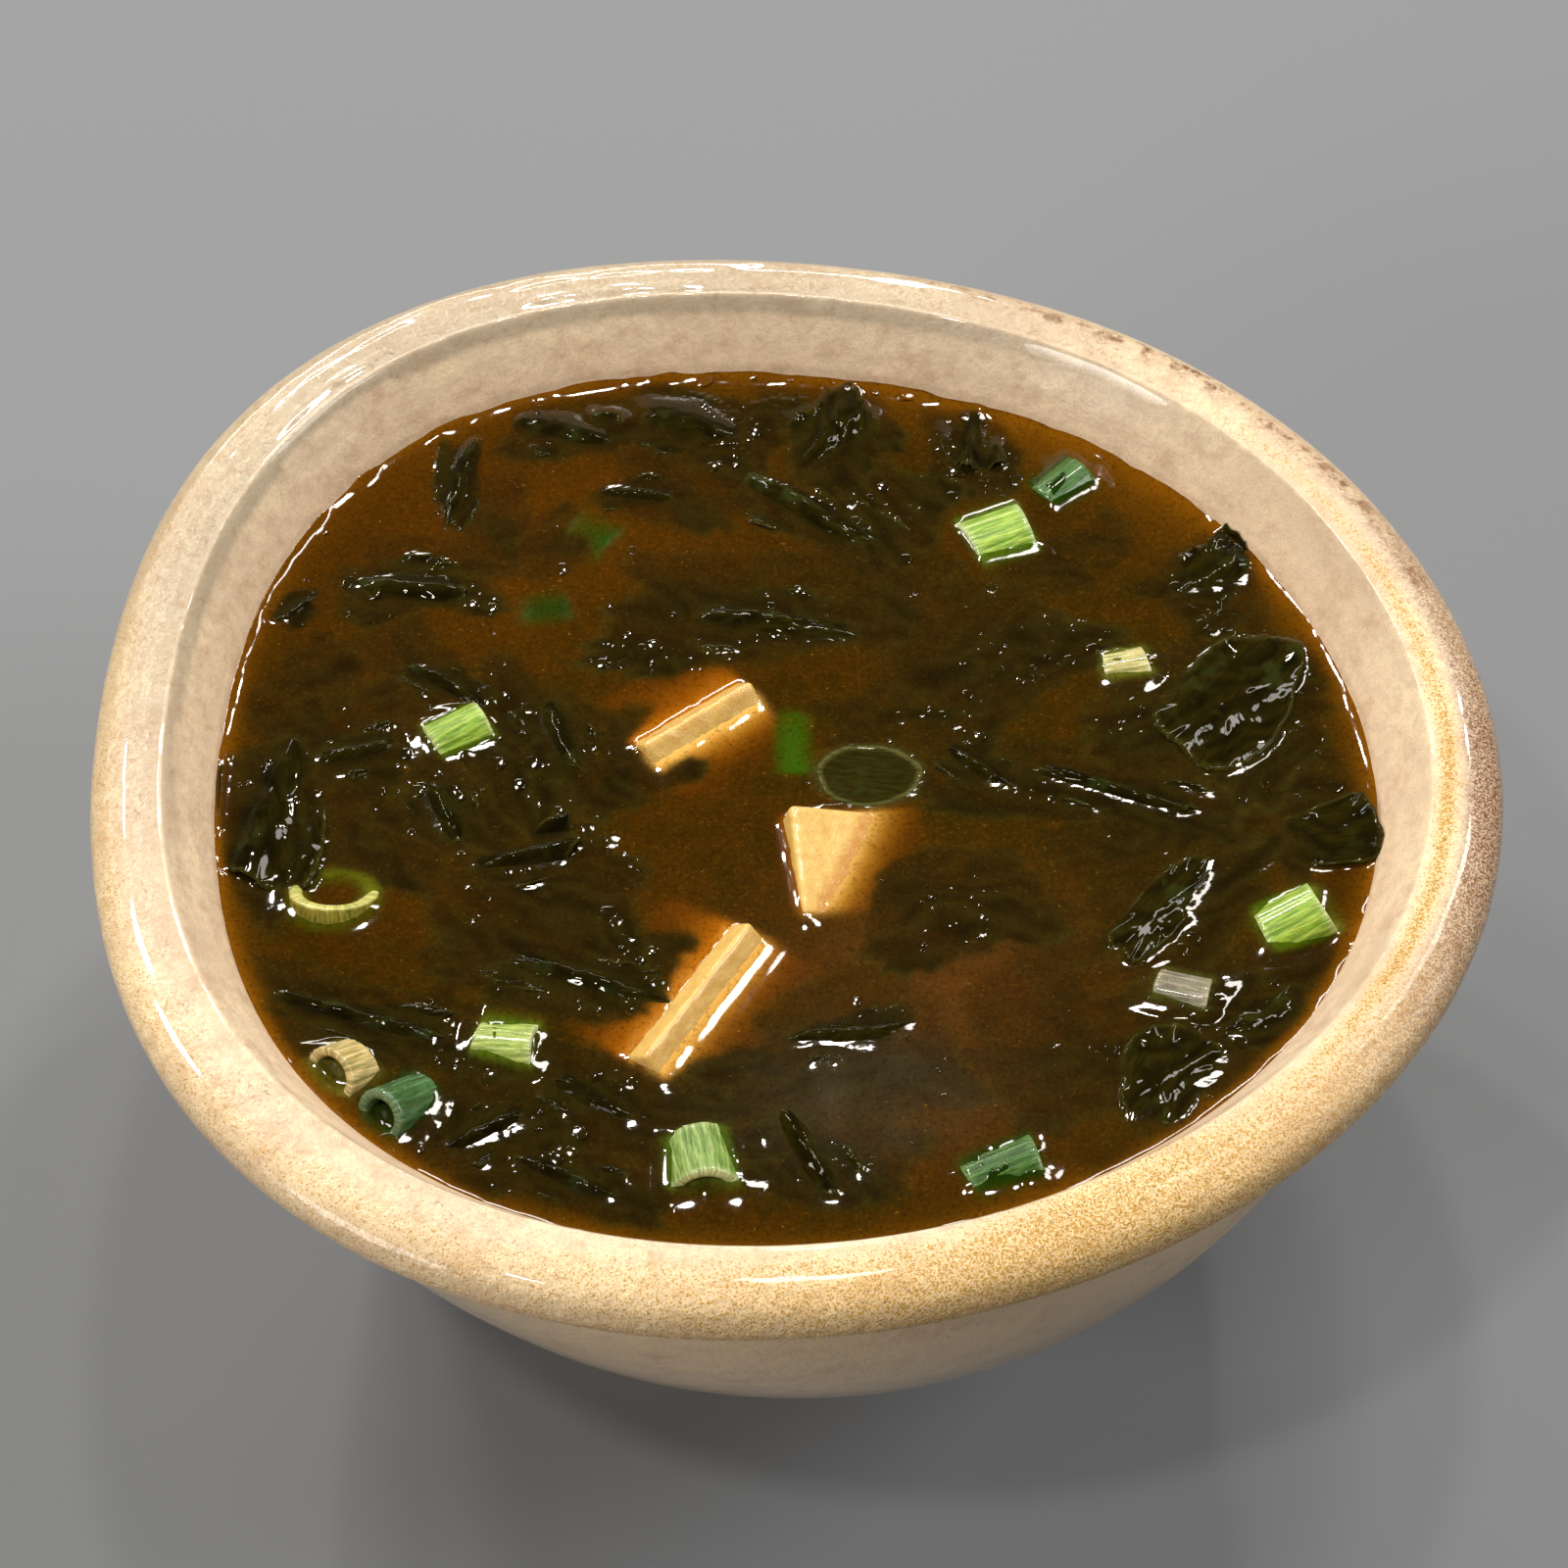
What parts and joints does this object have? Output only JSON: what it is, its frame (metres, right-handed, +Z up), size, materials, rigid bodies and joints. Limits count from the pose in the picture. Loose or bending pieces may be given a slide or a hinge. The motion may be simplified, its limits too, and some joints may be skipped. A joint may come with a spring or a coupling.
{
  "type": "bowl of miso soup",
  "caption": "Dark miso soup with tofu dice, wakame leaves and spring onion slices, in a hand-thrown speckled stoneware bowl with a rolled rim and a foot ring.",
  "frame": {"origin": "centre of the bounding box on the table plane, under the foot ring", "axes": "+Z up out of the bowl's mouth; +Y away from the diner, +X to the diner's right"},
  "size_m": [0.1294, 0.1282, 0.06],
  "materials": {
    "glaze": "glossy speckled stoneware glaze",
    "broth": "wet, glossy, cloudy broth",
    "tofu": "soft, wet, finely pitted",
    "wakame": "wet, thin, wrinkled leaf",
    "spring_onion": "wet, striped along its length"
  },
  "bodies": {
    "root": {"bowl": "glaze", "soup": "broth", "onion_a": "spring_onion", "onion_b": "spring_onion", "onion_c": "spring_onion", "onion_d": "spring_onion", "onion_e": "spring_onion", "onion_f": "spring_onion", "onion_g": "spring_onion", "onion_h": "spring_onion", "onion_i": "spring_onion", "onion_j": "spring_onion", "onion_k": "spring_onion", "onion_l": "spring_onion", "onion_m": "spring_onion", "onion_n": "spring_onion", "tofu_back": "tofu", "tofu_middle": "tofu", "tofu_near": "tofu", "wakame_back_fold": "wakame", "wakame_far_a": "wakame", "wakame_far_b": "wakame", "wakame_far_c": "wakame", "wakame_far_d": "wakame", "wakame_far_left_strip": "wakame", "wakame_fin": "wakame", "wakame_left_back": "wakame", "wakame_left_band": "wakame", "wakame_left_edge": "wakame", "wakame_left_far": "wakame", "wakame_left_inner": "wakame", "wakame_left_middle": "wakame", "wakame_left_tip": "wakame", "wakame_middle": "wakame", "wakame_near_edge": "wakame", "wakame_near_left": "wakame", "wakame_near_left_a": "wakame", "wakame_near_left_b": "wakame", "wakame_near_left_edge": "wakame", "wakame_near_middle": "wakame", "wakame_near_right": "wakame", "wakame_near_right_edge": "wakame", "wakame_right": "wakame", "wakame_right_back": "wakame", "wakame_right_band": "wakame", "wakame_right_edge": "wakame", "wakame_right_middle": "wakame", "wakame_right_near": "wakame", "wakame_round": "wakame", "wakame_strip": "wakame", "wakame_tofu_side": "wakame"}
  },
  "joints": []
}
